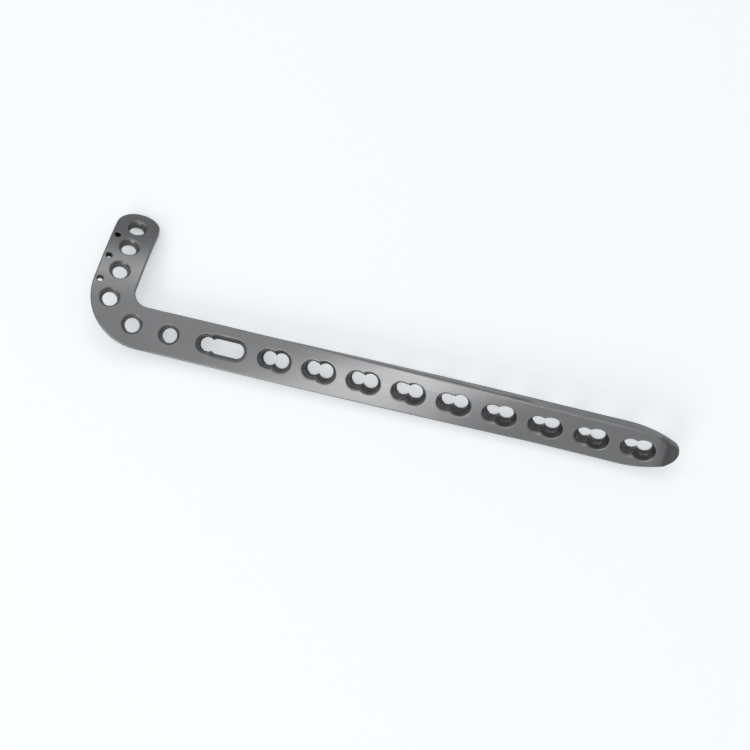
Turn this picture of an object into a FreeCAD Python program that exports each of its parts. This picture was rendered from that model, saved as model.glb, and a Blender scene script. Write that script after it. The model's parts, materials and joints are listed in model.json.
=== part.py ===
import FreeCAD
import Part

import itertools
import math
import os

import Sketcher
from FreeCAD import Base, Placement, Rotation, Vector

# Left anterolateral distal tibia locking plate for 3.5 mm screws, machined from
# one bar of titanium alloy. Lengths are in millimetres, angles in degrees.
#
# The plate is drawn flat first. In the flat drawing +X runs along the shaft from
# the elbow hole to the tip, +Y runs up the arm and +Z is the outer face's side.
# The outline is then laid on two bent faces, the outer face and the bone face,
# and each hole is cut square to the outer face where it stands.

DRIVING_SIZES = (
    # Shaft and its tip
    ("ShaftWidth", 12.6),
    ("ShaftThickness", 3.6),
    ("TipReach", 157.3),
    ("TipSideRadius", 31.0),
    ("TipNoseRadius", 3.5),
    ("TipRampLength", 4.6),
    ("TipRampAngle", 30.0),
    ("TipRampBlend", 3.0),
    # Elbow and arm
    ("ArmWidth", 12.4),
    ("ArmThickness", 2.3),
    ("ArmRootOffset", 8.5),
    ("ArmLean", 5.2),
    ("ArmLength", 38.2),
    ("ArmEndRadius", 5.9),
    ("ElbowRadius", 16.0),
    ("CrotchRadius", 4.0),
    # The rims of both broad faces are broken by this much
    ("EdgeBreak", 0.3),
    # Bends: the shaft twists, the elbow rises, the arm drops
    ("TwistAngle", 36.7),
    ("TwistStart", -1.4),
    ("TwistEnd", 118.2),
    ("RiseAngle", 16.4),
    ("RiseStart", 12.0),
    ("RiseLength", 11.3),
    ("ArmBendTurn", 5.1),
    ("ArmBendStart", -5.6),
    ("ArmBendRadius", 54.0),
    # Where the thin head ends and the full thickness of the shaft starts
    ("ThinEnd", 6.0),
    ("ThickStart", 28.0),
    # Places of the round holes and slots along the shaft
    ("ElbowHoleRise", 0.4),
    ("SecondHolePlace", 10.7),
    ("LongSlotPlace", 21.65),
    ("FirstSlotPlace", 40.0),
    ("SlotPitch", 13.0),
    ("SlotCount", 9),
    # Places of the holes along the arm, from the shaft's centre line
    ("ArmHole1Place", 31.9),
    ("ArmHole2Place", 23.9),
    ("ArmHole3Place", 15.5),
    ("ArmHole4Place", 6.5),
    ("WireHole1Place", 27.0),
    ("WireHole2Place", 19.0),
    ("WireHole3Place", 11.0),
    ("WireHoleSide", 4.4),
    # Locking holes
    ("LockRimRadius", 3.1),
    ("LockBevel", 0.5),
    ("ArmBoreRadius", 2.13),
    ("SlotBoreRadius", 2.0),
    ("BoreWall", 0.5),
    # Gliding part of the slots
    ("GlideRadius", 3.4),
    ("GlideBoreRadius", 2.15),
    ("GlidePlace", 3.6),
    ("LongGlideNear", 2.9),
    ("LongGlideFar", 8.7),
    # Holes for wires
    ("WireRadius", 0.85),
    ("WireBevel", 0.2),
)

# Cutting tools stand out this far above the face they cut
TOOL_HEADROOM = 1.0
# Spacing of the control points of the bent faces, and how far these run past the outline
FACE_STEP = 5.0
FACE_MARGIN = 6.0
# The widest crack that is closed when the faces are joined into one skin
SEWING_GAP = 0.01
# Spacing of the points of the rim that the plate may come to rest on
RIM_STEP = 4.0

doc = FreeCAD.newDocument("distal_tibia_plate")


def make_sheet():
    """The spreadsheet with every driving size, one row each."""
    sheet = doc.addObject("Spreadsheet::Sheet", "Sizes")
    for row, (alias, number) in enumerate(DRIVING_SIZES, start=1):
        sheet.set(f"A{row}", alias)
        sheet.set(f"B{row}", str(number))
        sheet.setAlias(f"B{row}", alias)
    doc.recompute()
    return sheet


sheet = make_sheet()


def value(text):
    """The number that an expression in sheet sizes comes to."""
    return float(sheet.evalExpression(text))


def make_body(name):
    return doc.addObject("PartDesign::Body", name)


def attach(feature, body, role):
    """Stand a feature on one of the body's own origin planes."""
    plane = next(item for item in body.Origin.OriginFeatures if item.Role == role)
    feature.AttachmentSupport = (plane, [""])
    feature.MapMode = "FlatFace"


def make_sketch(body, name, role):
    sketch = body.newObject("Sketcher::SketchObject", name)
    attach(sketch, body, role)
    return sketch


def make_primitive(body, kind, name, sizes, **places):
    """A primitive added to the body, its sizes and its place tied to the sheet."""
    feature = body.newObject(f"PartDesign::{kind}", name)
    attach(feature, body, "XY_Plane")
    for size, text in sizes.items():
        feature.setExpression(size, text)
    for axis, text in places.items():
        feature.setExpression(f"AttachmentOffset.Base.{axis}", text)
    return feature


def dimension(sketch, kind, name, text, *places):
    """A named sketch dimension, tied to the sheet by an expression."""
    index = sketch.addConstraint(Sketcher.Constraint(kind, *places, value(text)))
    sketch.renameConstraint(index, name)
    sketch.setExpression(f"Constraints.{name}", text)


# Flat drawing of the outline


def round_corner(corner, towards_start, towards_end, radius):
    """An arc that rounds the corner of two straight edges, as its three points."""
    half = towards_start.getAngle(towards_end) / 2
    middle_line = (towards_start + towards_end).normalize()
    centre = corner + middle_line * (radius / math.sin(half))
    reach = radius / math.tan(half)
    return corner + towards_start * reach, centre - middle_line * radius, corner + towards_end * reach


def crossing(point, direction, height):
    """Where a line through a point meets a line parallel to the shaft."""
    return point + direction * ((height - point.y) / direction.y)


def outline_pieces():
    """The outline's lines and arcs, anticlockwise from the shaft's lower edge, and the arm's axis."""
    half_shaft = value("Sizes.ShaftWidth") / 2
    lean = math.radians(value("Sizes.ArmLean"))
    up_arm = Vector(math.sin(lean), math.cos(lean), 0)
    across_arm = Vector(math.cos(lean), -math.sin(lean), 0)
    along = Vector(1, 0, 0)
    root = along * -value("Sizes.ArmRootOffset")
    head = root + up_arm * value("Sizes.ArmLength")
    side = across_arm * (value("Sizes.ArmWidth") / 2)

    elbow = round_corner(
        crossing(root - side, up_arm, -half_shaft), up_arm, along, value("Sizes.ElbowRadius")
    )
    crotch = round_corner(
        crossing(root + side, up_arm, half_shaft), along, up_arm, value("Sizes.CrotchRadius")
    )
    end_radius = value("Sizes.ArmEndRadius")
    right_end = round_corner(head + side, -up_arm, -across_arm, end_radius)
    left_end = round_corner(head - side, across_arm, -up_arm, end_radius)

    nose_radius = value("Sizes.TipNoseRadius")
    side_radius = value("Sizes.TipSideRadius")
    nose = along * (value("Sizes.TipReach") - nose_radius)
    rise = side_radius - half_shaft
    taper = math.sqrt((side_radius - nose_radius) ** 2 - rise**2)
    low_start = Vector(nose.x - taper, -half_shaft, 0)
    low_centre = low_start + Vector(0, side_radius, 0)
    low_end = nose + (nose - low_centre).normalize() * nose_radius
    low_middle = low_centre + (low_start + low_end - low_centre * 2).normalize() * side_radius

    def mirrored(point):
        return Vector(point.x, -point.y, 0)

    return (
        (elbow[2], low_start),
        (low_start, low_middle, low_end),
        (low_end, nose + along * nose_radius, mirrored(low_end)),
        (mirrored(low_end), mirrored(low_middle), mirrored(low_start)),
        (mirrored(low_start), crotch[0]),
        crotch,
        (crotch[2], right_end[0]),
        right_end,
        (right_end[2], left_end[0]),
        left_end,
        (left_end[2], elbow[0]),
        elbow,
        (root, head),
    )


def draw_outline(body):
    """The outline as a fully constrained sketch."""
    sketch = make_sketch(body, "outline", "XY_Plane")
    pieces = outline_pieces()
    for points in pieces:
        shape = Part.LineSegment(*points) if len(points) == 2 else Part.Arc(*points)
        sketch.addGeometry(shape)
    low_edge, low_arc, nose_arc, top_arc, top_edge, crotch = range(6)
    right_edge, right_corner, end_edge, left_corner, left_edge, elbow, axis = range(6, 13)
    sketch.setConstruction(axis, True)
    # The crotch is the one arc that turns the other way, so its ends swap
    loop = range(elbow + 1)
    for here in loop:
        there = (here + 1) % len(loop)
        end = 1 if here == crotch else 2
        start = 2 if there == crotch else 1
        sketch.addConstraint(Sketcher.Constraint("Tangent", here, end, there, start))
    for edge in (low_edge, top_edge):
        sketch.addConstraint(Sketcher.Constraint("Horizontal", edge))
    dimension(sketch, "Distance", "low_half", "Sizes.ShaftWidth / 2", -1, 1, low_edge)
    dimension(sketch, "Distance", "top_half", "Sizes.ShaftWidth / 2", -1, 1, top_edge)
    sketch.addConstraint(Sketcher.Constraint("PointOnObject", nose_arc, 3, -1))
    dimension(
        sketch, "DistanceX", "tip_reach", "Sizes.TipReach - Sizes.TipNoseRadius", -1, 1, nose_arc, 3
    )
    sketch.addConstraint(Sketcher.Constraint("PointOnObject", axis, 1, -1))
    dimension(sketch, "DistanceX", "arm_root", "Sizes.ArmRootOffset", axis, 1, -1, 1)
    dimension(sketch, "Distance", "arm_length", "Sizes.ArmLength", axis)
    lean = Sketcher.Constraint("Angle", axis, math.radians(90 - value("Sizes.ArmLean")))
    sketch.renameConstraint(sketch.addConstraint(lean), "arm_lean")
    sketch.setExpression("Constraints.arm_lean", "90 deg - Sizes.ArmLean * 1 deg")
    for name, edge in (("right_half", right_edge), ("left_half", left_edge)):
        sketch.addConstraint(Sketcher.Constraint("Parallel", axis, edge))
        dimension(sketch, "Distance", name, "Sizes.ArmWidth / 2", axis, 1, edge)
    sketch.addConstraint(Sketcher.Constraint("Perpendicular", axis, end_edge))
    sketch.addConstraint(Sketcher.Constraint("PointOnObject", axis, 2, end_edge))
    radii = (
        (low_arc, "Sizes.TipSideRadius"),
        (nose_arc, "Sizes.TipNoseRadius"),
        (top_arc, "Sizes.TipSideRadius"),
        (crotch, "Sizes.CrotchRadius"),
        (right_corner, "Sizes.ArmEndRadius"),
        (left_corner, "Sizes.ArmEndRadius"),
        (elbow, "Sizes.ElbowRadius"),
    )
    for arc, text in radii:
        dimension(sketch, "Radius", f"radius_{arc}", text, arc)
    return sketch


def make_flat_blank():
    """The blank before it is bent: the outline at the shaft's thickness."""
    body = make_body("flat_blank")
    sketch = draw_outline(body)
    pad = body.newObject("PartDesign::Pad", "blank_pad")
    pad.Profile = sketch
    pad.setExpression("Length", "Sizes.ShaftThickness")
    doc.recompute()
    return sketch


# Bent faces


def share(x, start, end):
    """How far x has gone from start to end, from 0 to 1."""
    return min(max((x - start) / (end - start), 0.0), 1.0)


def eased(x, start, end):
    """The same, but with a soft start and end."""
    part = share(x, start, end)
    return part * part * (3 - 2 * part)


def thickness_at(x):
    """The head is thin under the skin of the ankle and the shaft has its full thickness."""
    thin = value("Sizes.ArmThickness")
    full = value("Sizes.ShaftThickness")
    return thin + (full - thin) * eased(x, value("Sizes.ThinEnd"), value("Sizes.ThickStart"))


def rise_at(x):
    """Where the shaft's centre line runs at x, and its slope there: the elbow curls up."""
    angle = math.radians(value("Sizes.RiseAngle"))
    start = value("Sizes.RiseStart")
    length = value("Sizes.RiseLength")
    radius = length / angle
    slope = angle * share(start - x, 0, length)
    past_bend = max(start - x - length, 0.0)
    if x >= start:
        return Vector(x, 0, 0), 0.0
    run = radius * math.sin(slope) + past_bend * math.cos(slope)
    height = radius * (1 - math.cos(slope)) + past_bend * math.sin(slope)
    return Vector(start - run, 0, height), slope


def bent_point(x, y, depth):
    """Where the point (x, y) of the flat drawing, this deep under the outer face, goes."""
    # The arm drops over a cylinder. Its axis is turned a little from the shaft's, so
    # that the bend runs out along the shaft.
    turn = math.radians(value("Sizes.ArmBendTurn"))
    along = x * math.cos(turn) + y * math.sin(turn)
    across = y * math.cos(turn) - x * math.sin(turn)
    start = value("Sizes.ArmBendStart")
    radius = value("Sizes.ArmBendRadius")
    drop = max(across - start, 0.0) / radius
    across = min(across, start) + (radius - depth) * math.sin(drop)
    height = (radius - depth) * math.cos(drop) - radius
    sideways = along * math.sin(turn) + across * math.cos(turn)
    centre, slope = rise_at(along * math.cos(turn) - across * math.sin(turn))
    point = centre + Vector(height * math.sin(slope), sideways, height * math.cos(slope))
    # The shaft twists about its own centre line
    twist = value("Sizes.TwistAngle") * share(x, value("Sizes.TwistStart"), value("Sizes.TwistEnd"))
    return Rotation(Vector(1, 0, 0), twist).multVec(point)


def spaced(start, end):
    """Even steps from start to end, near the face's step."""
    count = max(round((end - start) / FACE_STEP), 1)
    return [start + (end - start) * i / count for i in range(count + 1)]


def control_places(knots):
    """Where the control points of a cubic curve with these knots stand."""
    full = knots[:1] * 3 + knots + knots[-1:] * 3
    return [sum(full[i + 1 : i + 4]) / 3 for i in range(len(knots) + 2)]


def bent_face(box, depth_share):
    """A smooth face over the flat drawing's box, its parameters being x and y of the drawing."""
    across = spaced(box.XMin - FACE_MARGIN, box.XMax + FACE_MARGIN)
    up = spaced(box.YMin - FACE_MARGIN, box.YMax + FACE_MARGIN)
    poles = [
        [bent_point(x, y, depth_share * thickness_at(x)) for y in control_places(up)]
        for x in control_places(across)
    ]
    face = Part.BSplineSurface()
    face.buildFromPolesMultsKnots(
        poles,
        [4] + [1] * (len(across) - 2) + [4],
        [4] + [1] * (len(up) - 2) + [4],
        across,
        up,
        False,
        False,
        3,
        3,
    )
    return face


def lay_outline(wire, surface):
    """The flat outline laid on a bent face, as the trimmed face and its edges in order."""
    edges = []
    for edge in wire.OrderedEdges:
        first, last = edge.ParameterRange
        points = [edge.valueAt(first + (last - first) * part) for part in (0, 0.5, 1)]
        start, middle, end = (Base.Vector2d(point.x, point.y) for point in points)
        straight = isinstance(edge.Curve, Part.Line)
        line = (
            Part.Geom2d.Line2dSegment(start, end)
            if straight
            else Part.Geom2d.ArcOfCircle2d(start, middle, end)
        )
        edges.append(line.toShape(surface))
    face = Part.Face(surface, Part.Wire(edges))
    face.validate()
    return face


def make_bent_blank(outline):
    """The blank between the two bent faces, with walls square to them and broken edges."""
    wire = outline.Shape.Wires[0]
    outer = lay_outline(wire, outer_surface)
    bone = lay_outline(wire, bone_surface)
    walls = [
        Part.makeRuledSurface(upper, lower)
        for upper, lower in zip(outer.OuterWire.OrderedEdges, bone.OuterWire.OrderedEdges)
    ]
    skin = Part.makeCompound([outer, bone] + walls)
    skin.sewShape(SEWING_GAP)
    solid = Part.Solid(skin.Shells[0] if skin.Shells else skin)
    if solid.Volume < 0:
        solid.reverse()
    broad_faces = sorted(solid.Faces, key=lambda face: face.Area)[-2:]
    rims = [edge for face in broad_faces for edge in face.Edges]
    blank = doc.addObject("Part::Feature", "bent_blank")
    blank.Shape = solid.makeChamfer(value("Sizes.EdgeBreak"), rims)
    return blank


# Cutting tools: +Z of each tool goes into the plate, and its origin lies TOOL_HEADROOM
# above the outer face, so that every number in a profile is a positive one


def draw_profile(body, name, role, corners):
    """A closed profile whose corners are pairs of expressions, tied to the sheet."""
    sketch = make_sketch(body, name, role)
    places = [Vector(value(across), value(down), 0) for across, down in corners]
    for index, place in enumerate(places):
        following = places[(index + 1) % len(places)]
        sketch.addGeometry(Part.LineSegment(place, following))
    for index, (across, down) in enumerate(corners):
        previous = (index - 1) % len(corners)
        sketch.addConstraint(Sketcher.Constraint("Coincident", previous, 2, index, 1))
        if across == "0":
            sketch.addConstraint(Sketcher.Constraint("PointOnObject", index, 1, -2))
        else:
            dimension(sketch, "DistanceX", f"across_{index}", across, -1, 1, index, 1)
        if down == "0":
            sketch.addConstraint(Sketcher.Constraint("PointOnObject", index, 1, -1))
        else:
            dimension(sketch, "DistanceY", f"down_{index}", down, -1, 1, index, 1)
    return sketch


def revolve(body, name, sketch):
    turned = body.newObject("PartDesign::Revolution", name)
    turned.Profile = sketch
    turned.ReferenceAxis = (sketch, ["V_Axis"])
    turned.Angle = 360
    return turned


def locking_hole(body, wall):
    """A hole with a bevelled rim, its wall below the bevel given by these corners."""
    corners = (
        ("0", "0"),
        (f"Sizes.LockRimRadius + {TOOL_HEADROOM}", "0"),
        ("Sizes.LockRimRadius - Sizes.LockBevel", f"{TOOL_HEADROOM} + Sizes.LockBevel"),
        *wall,
        ("0", wall[-1][1]),
    )
    return revolve(body, "locking_hole", draw_profile(body, "locking_profile", "XZ_Plane", corners))


def make_locking_tool():
    """A round locking hole: a cone for the screw's head that ends in a short straight bore."""
    body = make_body("locking_tool")
    floor = f"{TOOL_HEADROOM} + Sizes.ArmThickness"
    wall = (
        ("Sizes.ArmBoreRadius", f"{floor} - Sizes.BoreWall"),
        ("Sizes.ArmBoreRadius", f"{floor} + {TOOL_HEADROOM}"),
    )
    locking_hole(body, wall)
    return body


def make_wire_tool():
    """A small straight hole for a wire, with a bevelled rim."""
    body = make_body("wire_tool")
    depth = f"{TOOL_HEADROOM} * 2 + Sizes.ShaftThickness"
    corners = (
        ("0", "0"),
        (f"Sizes.WireRadius + Sizes.WireBevel + {TOOL_HEADROOM}", "0"),
        ("Sizes.WireRadius", f"{TOOL_HEADROOM} + Sizes.WireBevel"),
        ("Sizes.WireRadius", depth),
        ("0", depth),
    )
    revolve(body, "wire_hole", draw_profile(body, "wire_profile", "XZ_Plane", corners))
    return body


def glide_end(body, number, place):
    """One end of the gliding part: a spherical seat over a bore."""
    seat = {"Radius": "Sizes.GlideRadius"}
    make_primitive(body, "AdditiveSphere", f"glide_seat_{number}", seat, x=place, z=str(TOOL_HEADROOM))
    bore = {"Radius": "Sizes.GlideBoreRadius", "Height": f"{TOOL_HEADROOM} * 2 + Sizes.ShaftThickness"}
    make_primitive(body, "AdditiveCylinder", f"glide_bore_{number}", bore, x=place)


def glide_way(body, near, far):
    """What joins the two ends of a long gliding part: a round channel over a straight slit."""
    length = f"{far} - {near}"
    round_way = {"Radius": "Sizes.GlideRadius", "Height": length}
    channel = make_primitive(body, "AdditiveCylinder", "glide_channel", round_way)
    channel.AttachmentOffset = Placement(Vector(0, 0, TOOL_HEADROOM), Rotation(Vector(0, 1, 0), 90))
    channel.setExpression("AttachmentOffset.Base.x", near)
    slit = {
        "Length": length,
        "Width": "Sizes.GlideBoreRadius * 2",
        "Height": f"{TOOL_HEADROOM} * 2 + Sizes.ShaftThickness",
    }
    make_primitive(body, "AdditiveBox", "glide_slit", slit, x=near, y="-Sizes.GlideBoreRadius")


def make_slot_tool(name, ends):
    """A locking hole that opens into a gliding part with these ends."""
    body = make_body(name)
    # The locking circle's cone narrows all the way to the bone face and past it
    rim = "Sizes.LockRimRadius - Sizes.LockBevel"
    narrowing = f"({rim} - Sizes.SlotBoreRadius) / (Sizes.ShaftThickness - Sizes.LockBevel)"
    end = f"Sizes.SlotBoreRadius - {narrowing} * {TOOL_HEADROOM}"
    locking_hole(body, ((end, f"{TOOL_HEADROOM} * 2 + Sizes.ShaftThickness"),))
    for number, place in enumerate(ends, start=1):
        glide_end(body, number, place)
    if len(ends) > 1:
        glide_way(body, *ends)
    return body


def make_ramp_tool():
    """The ramp that thins the tip: a straight slope with a soft start."""
    body = make_body("ramp_tool")
    angle = math.radians(value("Sizes.TipRampAngle"))
    blend = value("Sizes.TipRampBlend")
    run = value("Sizes.TipRampLength") + value("Sizes.TipNoseRadius")
    # In the profile +Y goes into the plate, as the tools' +Z does
    start = Vector(0, TOOL_HEADROOM, 0)
    half = Vector(blend * math.sin(angle / 2), TOOL_HEADROOM + blend * (1 - math.cos(angle / 2)), 0)
    bend = Vector(blend * math.sin(angle), TOOL_HEADROOM + blend * (1 - math.cos(angle)), 0)
    foot = bend + Vector(run * math.cos(angle), run * math.sin(angle), 0)
    corner = Vector(foot.x, 0, 0)
    sketch = make_sketch(body, "ramp_profile", "XZ_Plane")
    sketch.addGeometry(Part.LineSegment(Vector(0, 0, 0), start))
    sketch.addGeometry(Part.Arc(start, half, bend))
    sketch.addGeometry(Part.LineSegment(bend, foot))
    sketch.addGeometry(Part.LineSegment(foot, corner))
    sketch.addGeometry(Part.LineSegment(corner, Vector(0, 0, 0)))
    pad = body.newObject("PartDesign::Pad", "ramp_pad")
    pad.Profile = sketch
    pad.setExpression("Length", "Sizes.ShaftWidth * 2")
    pad.Midplane = True
    return body


# Where the tools stand


def frame_on_face(x, y):
    """A tool's place over the point (x, y): its X along the shaft, its Z into the plate."""
    inward = -outer_surface.normal(x, y)
    if inward.z > 0:
        inward = -inward
    along, _ = outer_surface.tangent(x, y)
    turn = Rotation(along, Vector(), inward, "ZXY")
    return Placement(outer_surface.value(x, y) - inward * TOOL_HEADROOM, turn)


def on_arm(distance, side):
    """The flat place of a hole of the arm, from its distance up the arm and to its left."""
    lean = math.radians(value("Sizes.ArmLean"))
    x = -value("Sizes.ArmRootOffset") + distance * math.sin(lean) - side * math.cos(lean)
    return x, distance * math.cos(lean) + side * math.sin(lean)


def stand_tool(name, body, x, y):
    tool = doc.addObject("Part::Feature", name)
    tool.Shape = body.Shape
    tool.Placement = frame_on_face(x, y)
    return tool


def stand_all_tools():
    """Every hole and slot, from the arm's end round the elbow to the tip."""
    locking_tool = make_locking_tool()
    wire_tool = make_wire_tool()
    long_slot_tool = make_slot_tool("long_slot_tool", ("Sizes.LongGlideNear", "Sizes.LongGlideFar"))
    slot_tool = make_slot_tool("slot_tool", ("Sizes.GlidePlace",))
    ramp_tool = make_ramp_tool()
    doc.recompute()
    tools = []
    for number in (1, 2, 3, 4):
        place = on_arm(value(f"Sizes.ArmHole{number}Place"), 0)
        tools.append(stand_tool(f"arm_hole_{number}", locking_tool, *place))
    for number in (1, 2, 3):
        place = on_arm(value(f"Sizes.WireHole{number}Place"), value("Sizes.WireHoleSide"))
        tools.append(stand_tool(f"wire_hole_{number}", wire_tool, *place))
    tools.append(stand_tool("elbow_hole", locking_tool, 0, value("Sizes.ElbowHoleRise")))
    tools.append(stand_tool("second_hole", locking_tool, value("Sizes.SecondHolePlace"), 0))
    tools.append(stand_tool("long_slot", long_slot_tool, value("Sizes.LongSlotPlace"), 0))
    for number in range(int(value("Sizes.SlotCount"))):
        place = value("Sizes.FirstSlotPlace") + number * value("Sizes.SlotPitch")
        tools.append(stand_tool(f"slot_{number + 1}", slot_tool, place, 0))
    ramp_start = value("Sizes.TipReach") - value("Sizes.TipRampLength")
    tools.append(stand_tool("tip_ramp", ramp_tool, ramp_start, 0))
    return tools


def cut_holes(blank, tools):
    together = doc.addObject("Part::Compound", "all_tools")
    together.Links = tools
    plate = doc.addObject("Part::Cut", "plate")
    plate.Base = blank
    plate.Tool = together
    doc.recompute()
    return plate


def resting_upward(outline, centre):
    """Which way is up when the plate lies on its bone face: the centre of mass is lowest then."""
    flat = outline.Shape.Wires[0].discretize(Distance=RIM_STEP)
    rim = [bone_surface.value(point.x, point.y) for point in flat]
    lowest = None
    for feet in itertools.combinations(rim, 3):
        upward = (feet[1] - feet[0]).cross(feet[2] - feet[0])
        if upward.Length < RIM_STEP:
            continue
        upward = upward.normalize() if upward.z > 0 else -upward.normalize()
        if any((point - feet[0]).dot(upward) < -SEWING_GAP for point in rim):
            continue
        height = (centre - feet[0]).dot(upward)
        if lowest is None or height < lowest[0]:
            lowest = (height, upward)
    return lowest[1]


def lie_down(plate, outline):
    """Turn the plate as it comes to rest, and stand its frame under the middle of its box."""
    upward = resting_upward(outline, plate.Shape.CenterOfGravity)
    turn = Rotation(Vector(1, 0, 0), Vector(), upward, "ZXY").inverted()
    plate.Placement = Placement(Vector(), turn)
    box = plate.Shape.optimalBoundingBox()
    plate.Placement = Placement(-Vector(box.Center.x, box.Center.y, box.ZMin), turn)


def check(parts):
    """Stop before writing if any object failed or a sub-part has no sound shape."""
    for item in doc.Objects:
        if {"Invalid", "Error"} & set(item.State):
            raise RuntimeError(f"{item.Label} failed: {item.State}")
    for part in parts:
        if part.Shape.isNull() or not part.Shape.isValid():
            raise RuntimeError(f"{part.Label} has no valid shape")


outline = make_flat_blank()
flat_box = outline.Shape.BoundBox
outer_surface = bent_face(flat_box, 0)
bone_surface = bent_face(flat_box, 1)
plate = cut_holes(make_bent_blank(outline), stand_all_tools())
lie_down(plate, outline)
plate.Label = "plate"
check([plate])

os.makedirs("parts", exist_ok=True)
plate.Shape.exportStep(f"parts/{plate.Label}.step")
box = plate.Shape.optimalBoundingBox()
print(f"{plate.Label}: {box.XLength:.2f} x {box.YLength:.2f} x {box.ZLength:.2f} mm,")
print(f"{plate.Shape.Volume:.1f} mm3 in {len(plate.Shape.Solids)} solid")
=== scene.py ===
"""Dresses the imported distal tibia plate: its blasted finish, its threads and the table that it lies on."""

import json
import math

from collections import namedtuple

import bmesh
import bpy
import numpy as np
from bpy.props import FloatProperty, FloatVectorProperty, IntProperty, PointerProperty
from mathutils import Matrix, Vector


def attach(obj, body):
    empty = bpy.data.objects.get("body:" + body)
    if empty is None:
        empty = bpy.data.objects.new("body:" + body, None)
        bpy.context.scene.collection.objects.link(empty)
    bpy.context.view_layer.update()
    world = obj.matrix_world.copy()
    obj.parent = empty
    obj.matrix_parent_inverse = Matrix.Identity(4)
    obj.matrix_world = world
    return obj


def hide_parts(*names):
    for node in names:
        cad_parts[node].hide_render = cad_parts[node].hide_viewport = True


bl_info = {
    "name": "Distal tibia plate",
    "version": (1, 0, 0),
    "blender": (4, 5, 0),
    "location": "3D View > Sidebar > Plate",
    "description": "Finish, thread ridges and studio for a distal tibia locking plate",
    "category": "Object",
}

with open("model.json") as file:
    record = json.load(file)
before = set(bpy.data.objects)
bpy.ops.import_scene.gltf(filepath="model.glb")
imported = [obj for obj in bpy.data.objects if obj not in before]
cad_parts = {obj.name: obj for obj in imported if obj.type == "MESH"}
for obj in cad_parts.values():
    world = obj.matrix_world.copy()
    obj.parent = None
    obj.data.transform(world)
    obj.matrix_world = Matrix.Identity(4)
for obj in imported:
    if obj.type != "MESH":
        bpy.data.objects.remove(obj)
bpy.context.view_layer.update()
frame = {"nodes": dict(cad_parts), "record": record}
MOUNTS = {mount["name"]: mount for mount in frame["record"]["mounts"]}
MM_TO_A_METRE = 1000

# The broad faces' normals are fitted through random samples, out to so many reaches
BROAD_FACES = 2
SAMPLE_SEED = 7
FARTHEST_SAMPLE = 3
STEADYING = 0.02

# Attribute that holds how far the outer face has turned down at the tip, where the material paints shade
FACET = "tip_facet"

# Rays that a Bevel or Ambient Occlusion node sends out
NODE_SAMPLES = 8

# A Mix node has a socket A and B for each kind of value, so its colour sockets go by number
MIX_COLOUR_A = 6
MIX_COLOUR_B = 7
MIX_COLOUR_RESULT = 2

RIDGE_SIDES = 6


class Number:
    """A shader value that varies over the surface. Arithmetic on it adds its Math nodes."""

    def __init__(self, tree, socket):
        self.tree = tree
        self.socket = socket

    def _math(self, operation, first, second):
        return self.tree.add("ShaderNodeMath", {"operation": operation}, {0: first, 1: second})

    def __add__(self, other):
        return self._math("ADD", self, other)

    def __radd__(self, other):
        return self._math("ADD", other, self)

    def __sub__(self, other):
        return self._math("SUBTRACT", self, other)

    def __rsub__(self, other):
        return self._math("SUBTRACT", other, self)

    def __mul__(self, other):
        return self._math("MULTIPLY", self, other)

    def __rmul__(self, other):
        return self._math("MULTIPLY", other, self)

    def __pow__(self, other):
        return self._math("POWER", self, other)

    def at_most(self, other):
        return self._math("MINIMUM", self, other)


class NodeTree:
    """Adds nodes of any type to a tree, and links or sets their inputs by name or number."""

    def __init__(self, tree):
        self.tree = tree
        self.tree.nodes.clear()

    def add(self, kind, settings=None, inputs=None, output=0):
        node = self.tree.nodes.new(kind)
        for name, setting in (settings or {}).items():
            setattr(node, name, setting)
        for name, given in (inputs or {}).items():
            if isinstance(given, Number):
                self.tree.links.new(given.socket, node.inputs[name])
            else:
                node.inputs[name].default_value = given
        return Number(self, node.outputs[output]) if node.outputs else node


def new_material(name):
    material = bpy.data.materials.new(name)
    material.use_nodes = True
    return material, NodeTree(material.node_tree)


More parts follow.
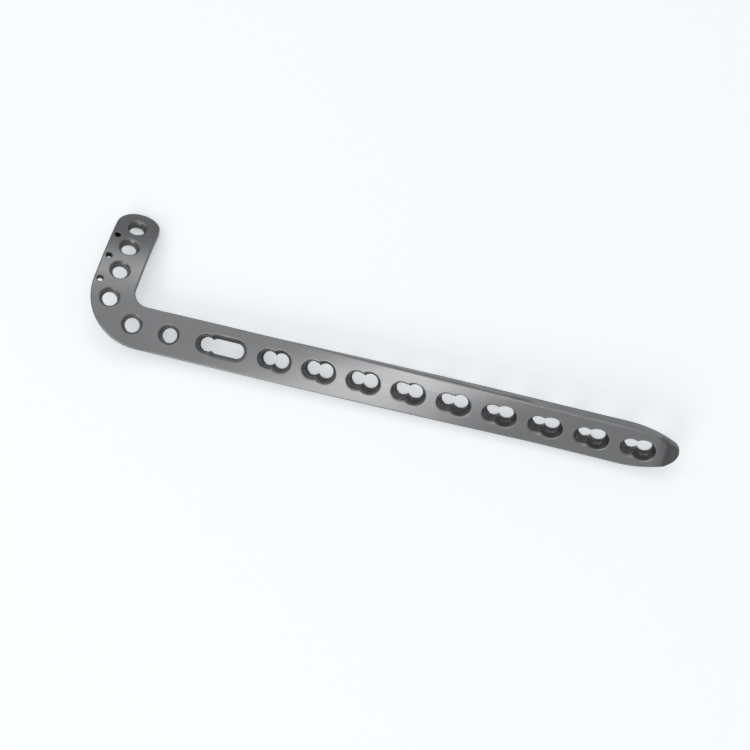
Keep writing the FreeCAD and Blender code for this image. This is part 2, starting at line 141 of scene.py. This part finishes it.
def blasted_titanium(look):
    """Matt grey titanium: blasted grain, faint milling lines, a painted highlight on the rims, and painted
    shade in the recesses and on the tip's facet.
    """
    material, tree = new_material("blasted_titanium")
    place = tree.add("ShaderNodeTexCoord", output="Object")
    grain = tree.add(
        "ShaderNodeTexNoise", inputs={"Vector": place, "Scale": look.grain_scale, "Detail": 2.0}
    )
    mottle = tree.add(
        "ShaderNodeTexNoise", inputs={"Vector": place, "Scale": look.mottle_scale, "Detail": 3.0}
    )
    along_shaft = tree.add(
        "ShaderNodeMapping", inputs={"Vector": place, "Scale": (look.milling_stretch, 1.0, 1.0)}
    )
    milling = tree.add(
        "ShaderNodeTexNoise", inputs={"Vector": along_shaft, "Scale": look.milling_scale, "Detail": 1.0}
    )
    rounded = tree.add("ShaderNodeBevel", {"samples": NODE_SAMPLES}, {"Radius": look.rim_radius})
    plain_normal = tree.add("ShaderNodeNewGeometry", output="Normal")
    facing = tree.add(
        "ShaderNodeVectorMath", {"operation": "DOT_PRODUCT"}, {0: rounded, 1: plain_normal}, "Value"
    )
    # Painted highlight: the colour is lighter at the rims, where the rounded normal turns away from the
    # plain one
    painted_rim_highlight = ((1.0 - facing) * look.rim_highlight_reach).at_most(1.0)
    openness = tree.add(
        "ShaderNodeAmbientOcclusion",
        {"samples": NODE_SAMPLES, "only_local": True},
        {"Distance": look.recess_reach},
        "AO",
    )
    facet = tree.add("ShaderNodeAttribute", {"attribute_name": FACET}, output="Fac")
    # Painted shade darkens the tip's facet; the mottle is the metal's own tone
    shade = 1.0 + (mottle - 0.5) * look.mottle_depth + painted_rim_highlight * look.rim_highlight_gain - facet * look.facet_painted_shade
    # Painted shade: the recesses are darkened by the ambient occlusion of the plate's own walls
    shade = shade * openness ** look.recess_painted_shade
    grey = tree.add("ShaderNodeCombineColor", inputs={"Red": shade, "Green": shade, "Blue": shade})
    colour = tree.add(
        "ShaderNodeMix",
        {"data_type": "RGBA", "blend_type": "MULTIPLY"},
        {"Factor": 1.0, MIX_COLOUR_A: (*look.colour, 1.0), MIX_COLOUR_B: grey},
        MIX_COLOUR_RESULT,
    )
    roughness = look.roughness + (milling - 0.5) * look.milling_depth
    bumps = tree.add(
        "ShaderNodeBump",
        inputs={
            "Strength": look.grain_strength,
            "Distance": look.grain_depth,
            "Height": grain,
            "Normal": rounded,
        },
    )
    surface = tree.add(
        "ShaderNodeBsdfPrincipled",
        inputs={"Base Color": colour, "Metallic": 1.0, "Roughness": roughness, "Normal": bumps},
    )
    tree.add("ShaderNodeOutputMaterial", inputs={"Surface": surface})
    return material


class PlateLook(bpy.types.PropertyGroup):
    """Colour and finish of the metal, and how its mesh is smoothed"""

    colour: FloatVectorProperty(
        name="Colour",
        description="Colour of the metal",
        subtype="COLOR",
        size=3,
        default=(0.268, 0.27, 0.274),
    )
    roughness: FloatProperty(
        name="Roughness", description="Roughness of the blasted metal", default=0.37
    )
    grain_scale: FloatProperty(
        name="Grain scale", description="Blasted grains to a metre", default=7000.0
    )
    grain_depth: FloatProperty(
        name="Grain depth",
        description="Depth of the blasted grain",
        default=0.00002,
        unit="LENGTH",
        precision=6,
    )
    grain_strength: FloatProperty(
        name="Grain strength", description="How strongly the grain shows", default=0.25
    )
    mottle_scale: FloatProperty(
        name="Mottle scale", description="Patches of shade to a metre", default=130.0
    )
    mottle_depth: FloatProperty(
        name="Mottle depth", description="How much the shade varies", default=0.10
    )
    milling_scale: FloatProperty(
        name="Milling scale", description="Milling lines to a metre", default=900.0
    )
    milling_stretch: FloatProperty(
        name="Milling stretch", description="Width of a milling line over its length", default=0.03
    )
    milling_depth: FloatProperty(
        name="Milling depth", description="How much the lines change the roughness", default=0.08
    )
    rim_radius: FloatProperty(
        name="Rim radius",
        description="Radius to which the rims are rounded",
        default=0.0004,
        unit="LENGTH",
        precision=6,
    )
    # Reach of the painted highlight on the rims, which stands for the light that the rims catch, not for
    # wear
    rim_highlight_reach: FloatProperty(
        name="Rim reach", description="How far the worn rims reach", default=6.0
    )
    # Strength of the painted highlight on the rims
    rim_highlight_gain: FloatProperty(
        name="Rim gain", description="How much brighter the rims are", default=0.55
    )
    recess_reach: FloatProperty(
        name="Recess reach",
        description="How near a wall must be to shade a recess",
        default=0.0024,
        unit="LENGTH",
        precision=5,
    )
    # Strength of the painted shade in the recesses
    recess_painted_shade: FloatProperty(
        name="Recess shade", description="How strongly recesses are shaded", default=4.5
    )
    # How much painted shade darkens the tip's facet, standing for how the light falls on it
    facet_painted_shade: FloatProperty(
        name="Facet shade", description="How much darker the tip's facet is", default=0.58
    )
    facet_length: FloatProperty(
        name="Facet length",
        description="How far from the tip the facet may begin",
        default=0.007,
        unit="LENGTH",
        precision=4,
    )
    facet_angle: FloatProperty(
        name="Facet angle",
        description="Turn of the face at which its shade is full",
        subtype="ANGLE",
        default=math.radians(20),
    )
    weld: FloatProperty(
        name="Weld",
        description="Points nearer than this become one",
        default=0.000002,
        unit="LENGTH",
        precision=7,
    )
    normal_reach: FloatProperty(
        name="Normal reach",
        description="Distance over which the broad faces' normals are evened out",
        default=0.0017,
        unit="LENGTH",
        precision=5,
    )
    normal_samples: IntProperty(
        name="Normal samples", description="Places sampled on each broad face", default=14000
    )
    crease_angle: FloatProperty(
        name="Crease angle",
        description="Edges sharper than this stay sharp",
        subtype="ANGLE",
        default=math.radians(28),
    )


def face_groups(mesh, crease_angle):
    """The faces that run smoothly into one another, as lists of face numbers, broadest first."""
    shape = bmesh.new()
    shape.from_mesh(mesh)
    shape.faces.ensure_lookup_table()
    unseen = set(range(len(shape.faces)))
    groups = []
    while unseen:
        group = []
        waiting = [unseen.pop()]
        while waiting:
            number = waiting.pop()
            group.append(number)
            for edge in shape.faces[number].edges:
                if len(edge.link_faces) != 2 or edge.calc_face_angle() > crease_angle:
                    continue
                for face in edge.link_faces:
                    if face.index in unseen:
                        unseen.remove(face.index)
                        waiting.append(face.index)
        groups.append(group)
    groups.sort(key=lambda group: -sum(shape.faces[number].calc_area() for number in group))
    shape.free()
    return groups


def fitted_normals(places, samples, sample_normals, reach):
    """At each place, the normal of a plane fit through the normals of the samples about it."""
    fitted = np.empty((len(places), 3))
    for index, place in enumerate(places):
        offsets = samples - place
        near = (offsets ** 2).sum(axis=1) < (FARTHEST_SAMPLE * reach) ** 2
        apart = offsets[near] / reach
        weight = np.exp(-0.5 * (apart ** 2).sum(axis=1))
        terms = np.column_stack((np.ones(len(apart)), apart[:, 0], apart[:, 1]))
        weighted = terms * weight[:, None]
        steadier = STEADYING * weight.sum() * np.diag((0.0, 1.0, 1.0))
        moments = weighted.T @ terms + steadier
        fitted[index] = np.linalg.solve(moments, weighted.T @ sample_normals[near])[0]
    return fitted / np.linalg.norm(fitted, axis=1)[:, None]


def mark_tip_facet(mesh, fitted, look):
    """Mark where the outer face turns down to the tip, so that the material can paint shade there."""
    end = max(vertex.co.x for vertex in mesh.vertices)
    reach = {number: (end - mesh.vertices[number].co.x) / look.facet_length for number in fitted}
    level = np.mean([normal for number, normal in fitted.items() if 1 < reach[number] < 2], axis=0)
    marks = np.zeros(len(mesh.vertices))
    for number, normal in fitted.items():
        if reach[number] < 1:
            turn = math.acos(min(float(normal @ level) / np.linalg.norm(level), 1.0))
            marks[number] = min(turn / look.facet_angle, 1.0) ** 2
    mesh.attributes.new(FACET, "FLOAT", "POINT").data.foreach_set("value", marks)


def even_out_normals(mesh, look):
    """Give the two broad faces the even normals of the bent surface, in place of their facets'."""
    points = np.empty(len(mesh.vertices) * 3)
    mesh.vertices.foreach_get("co", points)
    points = points.reshape(-1, 3)
    normals = np.empty(len(mesh.loops) * 3)
    mesh.corner_normals.foreach_get("vector", normals)
    normals = normals.reshape(-1, 3)
    chance = np.random.default_rng(SAMPLE_SEED)
    for group in face_groups(mesh, look.crease_angle)[:BROAD_FACES]:
        faces = [mesh.polygons[number] for number in group]
        areas = np.array([face.area for face in faces])
        chosen = chance.choice(len(faces), look.normal_samples, p=areas / areas.sum())
        corners = points[np.array([list(face.vertices) for face in faces])[chosen]]
        shares = chance.dirichlet((1.0, 1.0, 1.0), look.normal_samples)
        samples = (corners * shares[:, :, None]).sum(axis=1)
        flat = np.array([list(face.normal) for face in faces])[chosen]
        used = sorted({vertex for face in faces for vertex in face.vertices})
        fitted = dict(zip(used, fitted_normals(points[used], samples, flat, look.normal_reach)))
        for face in faces:
            for corner, vertex in zip(face.loop_indices, face.vertices):
                normals[corner] = fitted[vertex]
        outer_face = flat[:, 2].mean() > 0
        if outer_face:
            mark_tip_facet(mesh, fitted, look)
    mesh.normals_split_custom_set([tuple(normal) for normal in normals])


class PLATE_OT_finish_plate(bpy.types.Operator):
    """Make the plate one smooth mesh with its blasted finish"""

    bl_idname = "plate.finish_plate"
    bl_label = "Finish plate"

    def execute(self, context):
        look = context.scene.plate_look
        mesh = frame["nodes"]["plate"].data.copy()
        mesh.name = "machined_plate"
        merged = bmesh.new()
        merged.from_mesh(mesh)
        bmesh.ops.remove_doubles(merged, verts=merged.verts, dist=look.weld)
        merged.to_mesh(mesh)
        merged.free()
        mesh.shade_smooth()
        mesh.set_sharp_from_angle(angle=look.crease_angle)
        even_out_normals(mesh, look)
        mesh.materials.clear()
        mesh.materials.append(blasted_titanium(look))
        plate = bpy.data.objects.new("machined_plate", mesh)
        context.scene.collection.objects.link(plate)
        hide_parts("plate")
        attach(plate, "root")
        return {"FINISHED"}


class ThreadSizes(bpy.types.PropertyGroup):
    """Sizes of the thread ridges, with depths from the plate's outer face"""

    pitch: FloatProperty(
        name="Pitch",
        description="Distance from one ridge to the next",
        default=0.0006,
        unit="LENGTH",
        precision=6,
    )
    ridge: FloatProperty(
        name="Ridge",
        description="Half the ridge's thickness",
        default=0.00013,
        unit="LENGTH",
        precision=6,
    )
    first_depth: FloatProperty(
        name="First depth",
        description="Depth of the first ridge",
        default=0.0008,
        unit="LENGTH",
        precision=6,
    )
    rim_radius: FloatProperty(
        name="Rim radius",
        description="Radius of the wall under the bevel",
        default=0.0026,
        unit="LENGTH",
        precision=6,
    )
    bevel_depth: FloatProperty(
        name="Bevel depth",
        description="Depth of the rim's bevel",
        default=0.0005,
        unit="LENGTH",
        precision=6,
    )
    hole_radius: FloatProperty(
        name="Hole radius",
        description="Bore radius of the round holes",
        default=0.00213,
        unit="LENGTH",
        precision=6,
    )
    hole_depth: FloatProperty(
        name="Hole depth",
        description="Depth where a round hole's cone ends",
        default=0.0018,
        unit="LENGTH",
        precision=6,
    )
    slot_radius: FloatProperty(
        name="Slot radius",
        description="Smallest radius of a slot's cone",
        default=0.0020,
        unit="LENGTH",
        precision=6,
    )
    slot_depth: FloatProperty(
        name="Slot depth",
        description="Depth where a slot's cone ends",
        default=0.0036,
        unit="LENGTH",
        precision=6,
    )
    slot_opening: FloatProperty(
        name="Slot opening",
        description="Angle over which a slot's circle is open",
        subtype="ANGLE",
        default=math.radians(116),
    )
    long_slot_depth: FloatProperty(
        name="Long slot depth",
        description="Depth of the long slot's last ridge",
        default=0.0031,
        unit="LENGTH",
        precision=6,
    )
    long_slot_opening: FloatProperty(
        name="Long slot opening",
        description="Angle over which the long slot's circle is open",
        subtype="ANGLE",
        default=math.radians(146),
    )
    segments: IntProperty(
        name="Segments", description="Straight steps in one turn", default=40
    )


def wall_radius(sizes, depth, end_radius, end_depth):
    """The radius of a locking hole's cone at a depth."""
    part = (depth - sizes.bevel_depth) / (end_depth - sizes.bevel_depth)
    return sizes.rim_radius + (end_radius - sizes.rim_radius) * min(part, 1.0)


def hole_frames(names, depth_of_mount):
    """The holes' places on the outer face, as a mesh of points with the ways into the plate and along it."""
    mesh = bpy.data.meshes.new("hole_places")
    points = []
    into = []
    along = []
    for name in names:
        mount = MOUNTS[name]
        inward = -Vector(mount["axis"]).normalized()
        shaft = Vector((1.0, 0.0, 0.0))
        points.append(Vector(mount["pos_m"]) - inward * depth_of_mount)
        into.append(inward)
        along.append((shaft - inward * shaft.dot(inward)).normalized())
    mesh.from_pydata(points, [], [])
    for attribute, vectors in (("into", into), ("along", along)):
        layer = mesh.attributes.new(attribute, "FLOAT_VECTOR", "POINT")
        layer.data.foreach_set("vector", [number for vector in vectors for number in vector])
    holder = bpy.data.objects.new("hole_places", mesh)
    bpy.context.scene.collection.objects.link(holder)
    return holder


THREAD_INPUTS = (
    ("Turns", "NodeSocketFloat"),
    ("Pitch", "NodeSocketFloat"),
    ("First Depth", "NodeSocketFloat"),
    ("Start Radius", "NodeSocketFloat"),
    ("End Radius", "NodeSocketFloat"),
    ("Ridge", "NodeSocketFloat"),
    ("Half Opening", "NodeSocketFloat"),
    ("Segments", "NodeSocketInt"),
    ("Material", "NodeSocketMaterial"),
)


def thread_tree():
    """Geometry nodes: a conical helical ridge, open over an angle, at each point's frame."""
    group = bpy.data.node_groups.new("thread_ridges", "GeometryNodeTree")
    group.is_modifier = True
    group.interface.new_socket("Geometry", in_out="INPUT", socket_type="NodeSocketGeometry")
    for name, kind in THREAD_INPUTS:
        group.interface.new_socket(name, in_out="INPUT", socket_type=kind)
    group.interface.new_socket("Geometry", in_out="OUTPUT", socket_type="NodeSocketGeometry")
    tree = NodeTree(group)
    given = group.nodes.new("NodeGroupInput")

    def asked(name):
        return Number(tree, given.outputs[name])

    turns = asked("Turns")
    spiral = tree.add(
        "GeometryNodeCurveSpiral",
        inputs={
            "Resolution": asked("Segments"),
            "Rotations": turns,
            "Start Radius": asked("Start Radius"),
            "End Radius": asked("End Radius"),
            "Height": turns * asked("Pitch"),
        },
    )
    line = tree.add("GeometryNodeCurveToMesh", inputs={"Curve": spiral})
    position = tree.add("GeometryNodeInputPosition")
    apart = tree.add("ShaderNodeSeparateXYZ", inputs={"Vector": position}, output="X")
    side = Number(tree, apart.socket.node.outputs["Y"])
    angle = tree.add("ShaderNodeMath", {"operation": "ARCTAN2"}, {0: side, 1: apart})
    width = tree.add("ShaderNodeMath", {"operation": "ABSOLUTE"}, {0: angle})
    in_opening = tree.add(
        "FunctionNodeCompare",
        {"data_type": "FLOAT", "operation": "LESS_THAN"},
        {0: width, 1: asked("Half Opening")},
    )
    kept = tree.add(
        "GeometryNodeDeleteGeometry", {"domain": "POINT"}, {"Geometry": line, "Selection": in_opening}
    )
    pieces = tree.add("GeometryNodeMeshToCurve", inputs={"Mesh": kept})
    section = tree.add(
        "GeometryNodeCurvePrimitiveCircle", inputs={"Resolution": RIDGE_SIDES, "Radius": asked("Ridge")}
    )
    ridge = tree.add(
        "GeometryNodeCurveToMesh", inputs={"Curve": pieces, "Profile Curve": section, "Fill Caps": True}
    )
    down = tree.add("ShaderNodeCombineXYZ", inputs={"Z": asked("First Depth")})
    sunk = tree.add("GeometryNodeTransform", inputs={"Geometry": ridge, "Translation": down})
    ways = [
        tree.add("GeometryNodeInputNamedAttribute", {"data_type": "FLOAT_VECTOR"}, {"Name": name})
        for name in ("into", "along")
    ]
    turned = tree.add(
        "FunctionNodeAxesToRotation",
        {"primary_axis": "Z", "secondary_axis": "X"},
        {"Primary Axis": ways[0], "Secondary Axis": ways[1]},
    )
    stood = tree.add(
        "GeometryNodeInstanceOnPoints",
        inputs={"Points": asked("Geometry"), "Instance": sunk, "Rotation": turned},
    )
    real = tree.add("GeometryNodeRealizeInstances", inputs={"Geometry": stood})
    finished = tree.add(
        "GeometryNodeSetMaterial", inputs={"Geometry": real, "Material": asked("Material")}
    )
    tree.add("NodeGroupOutput", inputs={"Geometry": finished})
    return group


def cut_thread(name, group, holder, sizes, wall, last_depth, half_opening):
    """One mesh with the ridges of all these holes. The wall is its end's radius and depth."""
    settings = {
        "Turns": (last_depth - sizes.first_depth) / sizes.pitch,
        "Pitch": sizes.pitch,
        "First Depth": sizes.first_depth,
        "Start Radius": wall_radius(sizes, sizes.first_depth, *wall),
        "End Radius": wall_radius(sizes, last_depth, *wall),
        "Ridge": sizes.ridge,
        "Half Opening": half_opening,
        "Segments": sizes.segments,
        "Material": bpy.data.materials["blasted_titanium"],
    }
    modifier = holder.modifiers.new("thread", "NODES")
    modifier.node_group = group
    for item in group.interface.items_tree:
        if item.in_out == "INPUT" and item.name in settings:
            modifier[item.identifier] = settings[item.name]
    holder.update_tag()
    bpy.context.view_layer.update()
    evaluated = holder.evaluated_get(bpy.context.evaluated_depsgraph_get())
    mesh = bpy.data.meshes.new_from_object(evaluated)
    bpy.data.objects.remove(holder)
    mesh.name = name
    mesh.shade_smooth()
    ridges = bpy.data.objects.new(name, mesh)
    bpy.context.scene.collection.objects.link(ridges)
    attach(ridges, "root")


class PLATE_OT_cut_threads(bpy.types.Operator):
    """Cut the thread of the round holes and of the slots' locking circles"""

    bl_idname = "plate.cut_threads"
    bl_label = "Cut threads"

    def execute(self, context):
        sizes = context.scene.thread_sizes
        group = thread_tree()

        # A round hole's mount is the middle of its bore, and its circle has no opening
        names = [f"arm_hole_{number}" for number in (1, 2, 3, 4)] + ["elbow_hole", "second_hole"]
        bore_length = MOUNTS["arm_hole_1"]["dims"]["length_mm"] / MM_TO_A_METRE
        holes = hole_frames(names, sizes.hole_depth + bore_length / 2)
        hole_wall = (sizes.hole_radius, sizes.hole_depth)
        cut_thread("hole_threads", group, holes, sizes, hole_wall, sizes.hole_depth, -1.0)

        # A slot's mount is its locking circle on the outer face
        slot_wall = (sizes.slot_radius, sizes.slot_depth)
        short_slots = hole_frames(sorted(name for name in MOUNTS if name.startswith("slot_")), 0.0)
        half_opening = sizes.slot_opening / 2
        cut_thread("slot_threads", group, short_slots, sizes, slot_wall, sizes.slot_depth, half_opening)
        long_slot = hole_frames(["long_slot"], 0.0)
        last_depth = sizes.long_slot_depth
        half_opening = sizes.long_slot_opening / 2
        cut_thread("long_slot_thread", group, long_slot, sizes, slot_wall, last_depth, half_opening)
        return {"FINISHED"}


class StudioSettings(bpy.types.PropertyGroup):
    """The table's top, the light of the room and the camera"""

    floor_size: FloatProperty(
        name="Floor size", description="Side of the table's top", default=6.0, unit="LENGTH"
    )
    floor_colour: FloatVectorProperty(
        name="Floor colour",
        description="Colour of the table's top",
        subtype="COLOR",
        size=3,
        default=(0.945, 0.95, 0.955),
    )
    floor_glow: FloatProperty(
        name="Floor glow", description="Share of even white in the table's top", default=0.2
    )
    glow_colour: FloatVectorProperty(
        name="Glow colour",
        description="Colour of the even white",
        subtype="COLOR",
        size=3,
        default=(0.95, 0.98, 1.0),
    )
    glow_strength: FloatProperty(
        name="Glow strength", description="Strength of the even white", default=2.25
    )
    floor_mirrored: FloatProperty(
        name="Floor mirrored",
        description="Share of the even white that the metal mirrors",
        default=0.5,
    )
    matt_radius: FloatProperty(
        name="Matt radius",
        description="How far from the plate the table's top is matt",
        default=0.3,
        unit="LENGTH",
    )
    white_radius: FloatProperty(
        name="White radius",
        description="How far from the plate the table's top is an even white",
        default=0.9,
        unit="LENGTH",
    )
    white: FloatVectorProperty(
        name="White",
        description="Colour of the table's top far away",
        subtype="COLOR",
        size=3,
        default=(0.955, 0.98, 0.995),
    )
    room_light: FloatProperty(
        name="Room light", description="Strength of the even light of the room", default=0.34
    )
    room_colour: FloatVectorProperty(
        name="Room colour",
        description="Colour of the even light of the room",
        subtype="COLOR",
        size=3,
        default=(0.97, 0.985, 1.0),
    )
    camera_place: FloatVectorProperty(
        name="Camera place",
        description="Where the camera stands",
        subtype="TRANSLATION",
        unit="LENGTH",
        size=3,
        default=(0.03412, -0.13684, 0.38067),
    )
    camera_turn: FloatVectorProperty(
        name="Camera turn",
        description="How the camera is turned about X, Y and Z",
        subtype="EULER",
        size=3,
        default=(math.radians(19.1561), math.radians(0.2406), math.radians(14.7997)),
    )
    lens: FloatProperty(
        name="Lens", description="Focal length in millimetres", default=67.751
    )
    nearest: FloatProperty(
        name="Nearest", description="Nearest distance that the camera sees", default=0.01, unit="LENGTH"
    )


# A soft box stands at a compass angle and a height angle in degrees, as seen from the plate
SoftBox = namedtuple("SoftBox", "name width height glow compass rise distance")

SOFT_BOXES = (
    SoftBox("front_box", width=0.52, height=0.46, glow=3.8, compass=-105.0, rise=32.0, distance=1.1),
    SoftBox("sky_box", width=1.7, height=1.7, glow=0.42, compass=-90.0, rise=86.0, distance=1.3),
    SoftBox("left_box", width=0.5, height=0.5, glow=1.0, compass=165.0, rise=48.0, distance=1.2),
    SoftBox("back_box", width=0.42, height=0.34, glow=2.4, compass=98.0, rise=54.0, distance=1.2),
)


def table_top(studio):
    """The table's top: matt round the plate, and an even white far from it where it is seen."""
    material, tree = new_material("table_top")
    seen = tree.add("ShaderNodeLightPath", output="Is Camera Ray")
    path = seen.socket.node
    mirrored = Number(tree, path.outputs["Is Glossy Ray"])
    passed = Number(tree, path.outputs["Is Transmission Ray"])
    shown = (seen + mirrored * studio.floor_mirrored + passed).at_most(1.0)
    matt = tree.add("ShaderNodeBsdfDiffuse", inputs={"Color": (*studio.floor_colour, 1.0)})
    lit = tree.add(
        "ShaderNodeEmission",
        inputs={"Color": (*studio.glow_colour, 1.0), "Strength": studio.glow_strength},
    )
    near = tree.add("ShaderNodeMixShader", inputs={0: shown * studio.floor_glow, 1: matt, 2: lit})
    place = tree.add("ShaderNodeTexCoord", output="Object")
    distance = tree.add("ShaderNodeVectorMath", {"operation": "LENGTH"}, {0: place}, "Value")
    away = tree.add(
        "ShaderNodeMapRange",
        {"interpolation_type": "SMOOTHSTEP"},
        {"Value": distance, "From Min": studio.matt_radius, "From Max": studio.white_radius},
    )
    white = tree.add("ShaderNodeEmission", inputs={"Color": (*studio.white, 1.0)})
    mixed = tree.add("ShaderNodeMixShader", inputs={0: shown * away, 1: near, 2: white})
    tree.add("ShaderNodeOutputMaterial", inputs={"Surface": mixed})
    return material


class PLATE_OT_set_studio(bpy.types.Operator):
    """Lay the table's top, hang the soft boxes and stand the camera"""

    bl_idname = "plate.set_studio"
    bl_label = "Set studio"

    def execute(self, context):
        studio = context.scene.studio
        self.lay_floor(context, studio)
        self.light_room(context, studio)
        for box in SOFT_BOXES:
            self.hang_soft_box(context, box)
        self.stand_camera(context, studio)
        context.scene.view_settings.view_transform = "Standard"
        return {"FINISHED"}

    def lay_floor(self, context, studio):
        half = studio.floor_size / 2
        corners = [(-half, -half, 0.0), (half, -half, 0.0), (half, half, 0.0), (-half, half, 0.0)]
        mesh = bpy.data.meshes.new("table_top")
        mesh.from_pydata(corners, [], [(0, 1, 2, 3)])
        mesh.materials.append(table_top(studio))
        floor = bpy.data.objects.new("table_top", mesh)
        context.scene.collection.objects.link(floor)

    def light_room(self, context, studio):
        """A world that the camera sees as plain white, and that lights the plate more weakly."""
        world = bpy.data.worlds.new("room")
        world.use_nodes = True
        tree = NodeTree(world.node_tree)
        seen = tree.add("ShaderNodeLightPath", output="Is Camera Ray")
        strength = seen + (1.0 - seen) * studio.room_light
        light = tree.add(
            "ShaderNodeBackground", inputs={"Color": (*studio.room_colour, 1.0), "Strength": strength}
        )
        tree.add("ShaderNodeOutputWorld", inputs={"Surface": light})
        context.scene.world = world

    def hang_soft_box(self, context, box):
        """A lamp that faces the plate, with the watts that give its whole face the box's glow."""
        lamp = bpy.data.lights.new(box.name, "AREA")
        lamp.shape = "RECTANGLE"
        lamp.size = box.width
        lamp.size_y = box.height
        lamp.energy = box.glow * math.pi * box.width * box.height
        holder = bpy.data.objects.new(box.name, lamp)
        compass = math.radians(box.compass)
        rise = math.radians(box.rise)
        flat = math.cos(rise)
        way = Vector((math.cos(compass) * flat, math.sin(compass) * flat, math.sin(rise)))
        holder.location = way * box.distance
        holder.rotation_euler = way.to_track_quat("Z", "Y").to_euler()
        context.scene.collection.objects.link(holder)

    def stand_camera(self, context, studio):
        lens = bpy.data.cameras.new("camera")
        lens.lens = studio.lens
        lens.clip_start = studio.nearest
        camera = bpy.data.objects.new("camera", lens)
        camera.location = studio.camera_place
        camera.rotation_euler = studio.camera_turn
        context.scene.collection.objects.link(camera)
        context.scene.camera = camera


STEPS = (PLATE_OT_finish_plate, PLATE_OT_cut_threads, PLATE_OT_set_studio)
SETTINGS = {"plate_look": PlateLook, "thread_sizes": ThreadSizes, "studio": StudioSettings}


class PLATE_PT_steps(bpy.types.Panel):
    """The steps that make the dressed plate, and what a user may change"""

    bl_label = "Distal tibia plate"
    bl_space_type = "VIEW_3D"
    bl_region_type = "UI"
    bl_category = "Plate"

    def draw(self, context):
        for step in STEPS:
            self.layout.operator(step.bl_idname)
        for group, kind in SETTINGS.items():
            box = self.layout.box()
            for name in kind.__annotations__:
                box.prop(getattr(context.scene, group), name)


def register():
    for kind in (*SETTINGS.values(), *STEPS, PLATE_PT_steps):
        bpy.utils.register_class(kind)
    for name, kind in SETTINGS.items():
        setattr(bpy.types.Scene, name, PointerProperty(type=kind))


def unregister():
    for name in SETTINGS:
        delattr(bpy.types.Scene, name)
    for kind in reversed((*SETTINGS.values(), *STEPS, PLATE_PT_steps)):
        bpy.utils.unregister_class(kind)


def main():
    register()
    bpy.ops.plate.finish_plate()
    bpy.ops.plate.cut_threads()
    bpy.ops.plate.set_studio()


if __name__ == "__main__":
    main()
